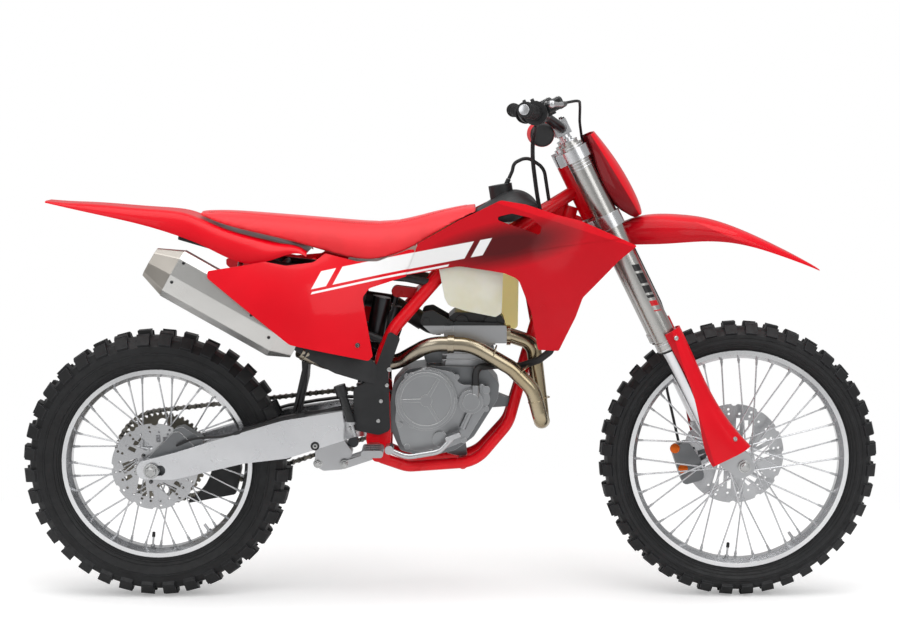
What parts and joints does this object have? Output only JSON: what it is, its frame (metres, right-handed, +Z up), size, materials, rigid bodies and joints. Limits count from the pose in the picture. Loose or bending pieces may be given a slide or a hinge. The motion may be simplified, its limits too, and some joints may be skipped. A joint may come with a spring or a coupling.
{
  "type": "motocross bike",
  "caption": "Off-road motorcycle with long-travel fork, slim saddle, knobbly spoked wheels, side-mounted silencer and wide bar; wheels turn and the fork steers.",
  "frame": {"origin": "the rider's seat point, on top of the saddle in the middle plane", "axes": "+X forward, +Y to the rider's left, +Z up"},
  "size_m": [2.183, 0.8228, 1.2751],
  "materials": {
    "red_plastic": "glossy moulded red",
    "black_plastic": "fine-grained moulded black",
    "tank_plastic": "translucent off-white, moulded",
    "seat_cover": "coated red cover cloth with a gripping grain",
    "frame_paint": "powder-coated red",
    "satin_aluminium": "satin, forged and machined",
    "cast_engine": "grey coated casting",
    "rim_aluminium": "polished and anodised silver",
    "steel": "ground steel",
    "fork_anodised": "grey anodised",
    "fork_chrome": "hard chrome, ground",
    "titanium": "bare pipe, heat-tinted to gold",
    "silencer_metal": "brushed sheet",
    "silencer_end": "satin beige-grey",
    "tyre_rubber": "matt black, knobbly",
    "rubber": "matt black",
    "pad_foam": "red and black cover over foam"
  },
  "bodies": {
    "main": {"chain": "steel", "frame": "frame_paint", "swingarm": "satin_aluminium", "rear_axle": "steel", "shrouds": "red_plastic", "side_panels": "red_plastic", "seat": "seat_cover", "rear_fender": "red_plastic", "fuel_tank": "tank_plastic", "tank_cover": "black_plastic", "crankcase": "cast_engine", "engine_covers": "cast_engine", "cylinder": "satin_aluminium", "exhaust_header": "titanium", "silencer": "silencer_metal", "silencer_cap": "silencer_end", "subframe": "satin_aluminium", "airbox": "black_plastic", "frame_guards": "black_plastic", "foot_pegs": "steel", "foot_controls": "satin_aluminium", "shock": "satin_aluminium", "linkage": "satin_aluminium", "radiators": "satin_aluminium", "hoses": "rubber", "chain_guide": "black_plastic", "rear_caliper": "cast_engine"},
    "steering": {"triple_clamps": "satin_aluminium", "fork_outer": "fork_anodised", "fork_inner": "fork_chrome", "fork_feet": "satin_aluminium", "fork_guards": "red_plastic", "handlebar": "fork_anodised", "grips": "rubber", "hand_controls": "satin_aluminium", "bar_pad": "pad_foam", "number_plate": "red_plastic", "front_fender": "red_plastic", "front_caliper": "cast_engine", "front_brake_hose": "rubber"},
    "front_wheel": {"front_tyre": "tyre_rubber", "front_rim": "rim_aluminium", "front_hub": "rim_aluminium", "front_disc": "steel"},
    "rear_wheel": {"rear_tyre": "tyre_rubber", "rear_rim": "rim_aluminium", "rear_hub": "rim_aluminium", "rear_disc": "steel", "rear_sprocket": "satin_aluminium"}
  },
  "joints": [
    {"name": "steering_turn", "type": "hinge", "parent": "main", "child": "steering", "pos_m": [0.46934, 0, 0.08578], "axis": [-0.4446, 0, 0.8957], "range_deg": [-42, 42]},
    {"name": "front_wheel_spin", "type": "hinge", "parent": "steering", "child": "front_wheel", "pos_m": [0.877, 0, -0.605], "axis": [0, 1, 0], "continuous": true},
    {"name": "rear_wheel_spin", "type": "hinge", "parent": "main", "child": "rear_wheel", "pos_m": [-0.608, 0, -0.615], "axis": [0, 1, 0], "continuous": true}
  ]
}
